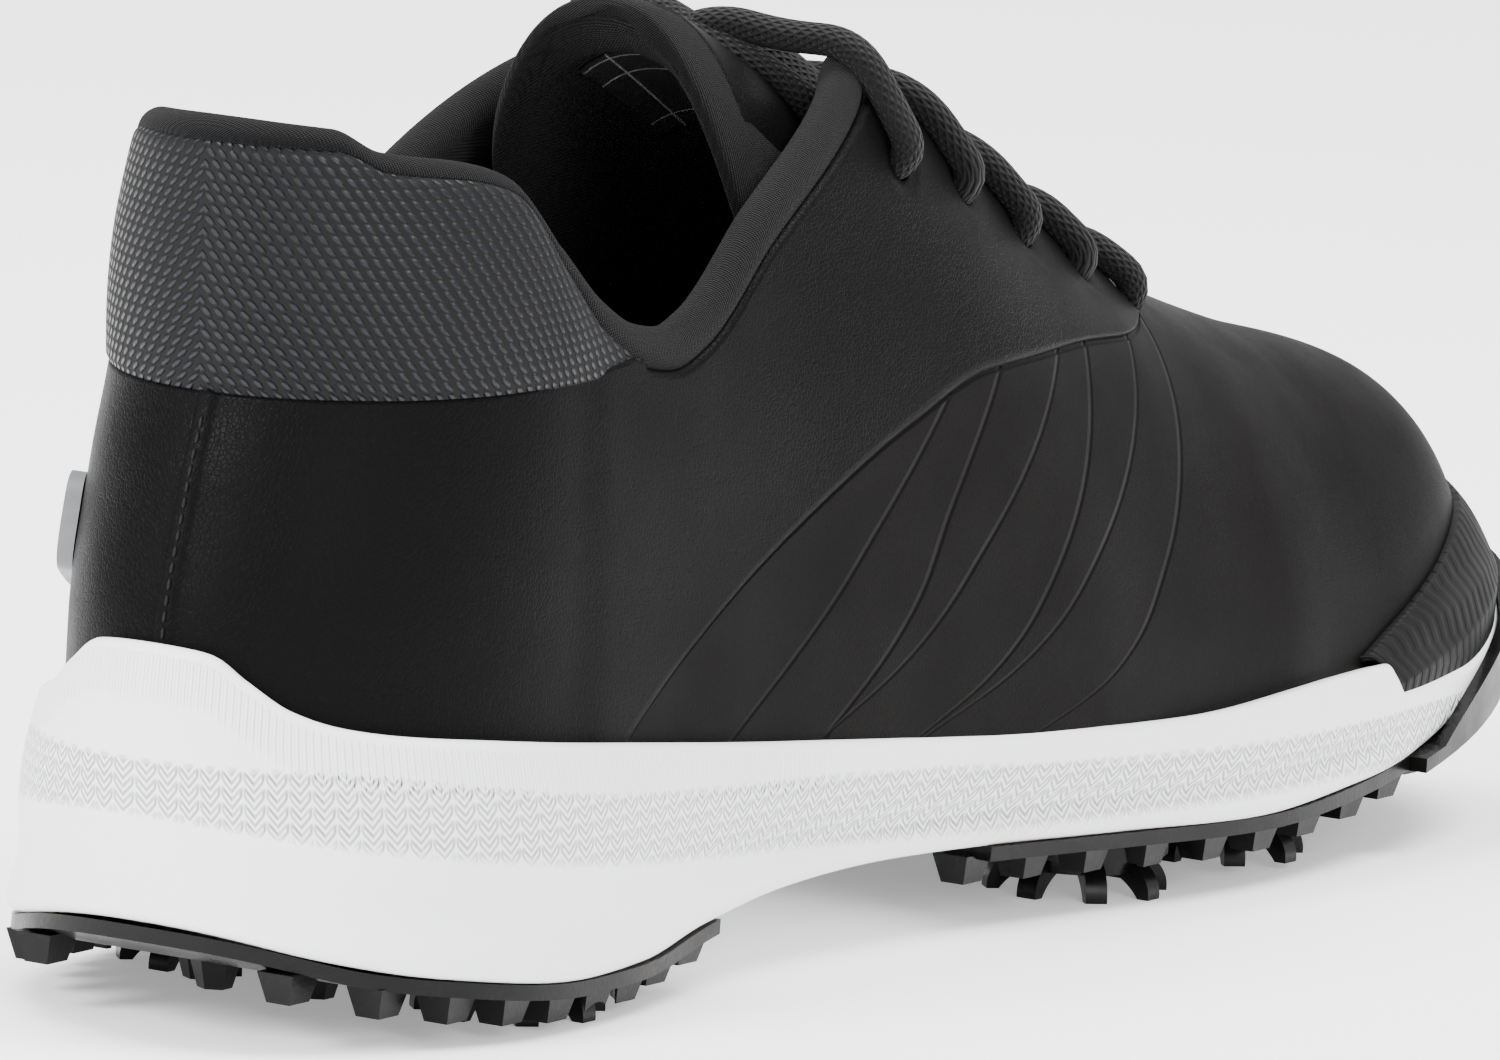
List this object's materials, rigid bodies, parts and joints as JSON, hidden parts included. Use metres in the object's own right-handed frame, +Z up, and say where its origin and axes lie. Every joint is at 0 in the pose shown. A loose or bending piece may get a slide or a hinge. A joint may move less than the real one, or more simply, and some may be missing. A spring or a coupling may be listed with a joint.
{
  "type": "golf shoe",
  "caption": "Low-cut golf shoe for the left foot: leather upper, knitted ankle band, padded tongue, round lace, white foam midsole, black outsole with twist-in soft cleats.",
  "frame": {"origin": "on the ground, under the middle of the shoe's length and width", "axes": "+X to the toe, +Y to the outer (lateral) side, +Z up"},
  "size_m": [0.3033, 0.1021, 0.1292],
  "materials": {
    "white_foam": "satin moulded foam",
    "outsole_rubber": "semi-gloss moulded rubber",
    "bumper_rubber": "matte moulded rubber",
    "cleat_plastic": "satin moulded plastic",
    "socket_plastic": "satin moulded plastic",
    "black_leather": "satin, fine grain",
    "mesh": "glossy chain knit",
    "lining_cloth": "fine soft knit",
    "padding": "open-cell foam",
    "board": "non-woven board",
    "stiffener": "thermoplastic sheet",
    "shank_plastic": "moulded plastic",
    "lace_cord": "tight round braid",
    "aglet_plastic": "clear-coated film",
    "badge_film": "metallic grey, raised",
    "label_print": "blank heat-pressed label"
  },
  "bodies": {
    "shoe": {"vamp": "black_leather", "quarter_medial": "black_leather", "quarter_lateral": "black_leather", "collar_mesh": "mesh", "collar_foam": "padding", "collar_lining": "lining_cloth", "heel_counter": "stiffener", "toe_puff": "stiffener", "eyestay_medial": "stiffener", "eyestay_lateral": "stiffener", "vamp_lining": "lining_cloth", "quarter_lining": "lining_cloth", "strobel_board": "board", "insole": "lining_cloth", "lace": "lace_cord", "aglets": "aglet_plastic", "shank_plate": "shank_plastic", "midsole": "white_foam", "toe_bumper": "bumper_rubber", "outsole_heel": "outsole_rubber", "outsole_forefoot": "outsole_rubber", "cleat_receptacles": "socket_plastic", "heel_badge": "badge_film"},
    "tongue": {"tongue_outer": "black_leather", "tongue_foam": "padding", "tongue_lining": "lining_cloth", "size_label": "label_print"},
    "soft_cleat_1": {"cleat_1": "cleat_plastic"},
    "soft_cleat_2": {"cleat_2": "cleat_plastic"},
    "soft_cleat_3": {"cleat_3": "cleat_plastic"},
    "soft_cleat_4": {"cleat_4": "cleat_plastic"},
    "soft_cleat_5": {"cleat_5": "cleat_plastic"},
    "soft_cleat_6": {"cleat_6": "cleat_plastic"},
    "soft_cleat_7": {"cleat_7": "cleat_plastic"}
  },
  "joints": [
    {"name": "cleat_1_twist", "type": "hinge", "parent": "shoe", "child": "soft_cleat_1", "pos_m": [-0.09675, -0.026, 0.0056], "axis": [0, 0, -1], "range_deg": [0, 90]},
    {"name": "cleat_2_twist", "type": "hinge", "parent": "shoe", "child": "soft_cleat_2", "pos_m": [-0.09675, 0.02, 0.0056], "axis": [0, 0, -1], "range_deg": [0, 90]},
    {"name": "cleat_3_twist", "type": "hinge", "parent": "shoe", "child": "soft_cleat_3", "pos_m": [0.03625, -0.031, 0.0056], "axis": [0, 0, -1], "range_deg": [0, 90]},
    {"name": "cleat_4_twist", "type": "hinge", "parent": "shoe", "child": "soft_cleat_4", "pos_m": [0.03425, 0.029, 0.0056], "axis": [0, 0, -1], "range_deg": [0, 90]},
    {"name": "cleat_5_twist", "type": "hinge", "parent": "shoe", "child": "soft_cleat_5", "pos_m": [0.07125, -0.032, 0.0066], "axis": [0, 0, -1], "range_deg": [0, 90]},
    {"name": "cleat_6_twist", "type": "hinge", "parent": "shoe", "child": "soft_cleat_6", "pos_m": [0.07625, 0.023, 0.0068], "axis": [0, 0, -1], "range_deg": [0, 90]},
    {"name": "cleat_7_twist", "type": "hinge", "parent": "shoe", "child": "soft_cleat_7", "pos_m": [0.10725, -0.01, 0.0106], "axis": [0, 0, -1], "range_deg": [0, 90]},
    {"name": "tongue_tilt", "type": "hinge", "parent": "shoe", "child": "tongue", "pos_m": [0.06025, -0.005, 0.07], "axis": [0, -1, 0], "range_deg": [0, 12], "stiffness_Nm_per_rad": 0.25, "springref_deg": -17.19}
  ]
}
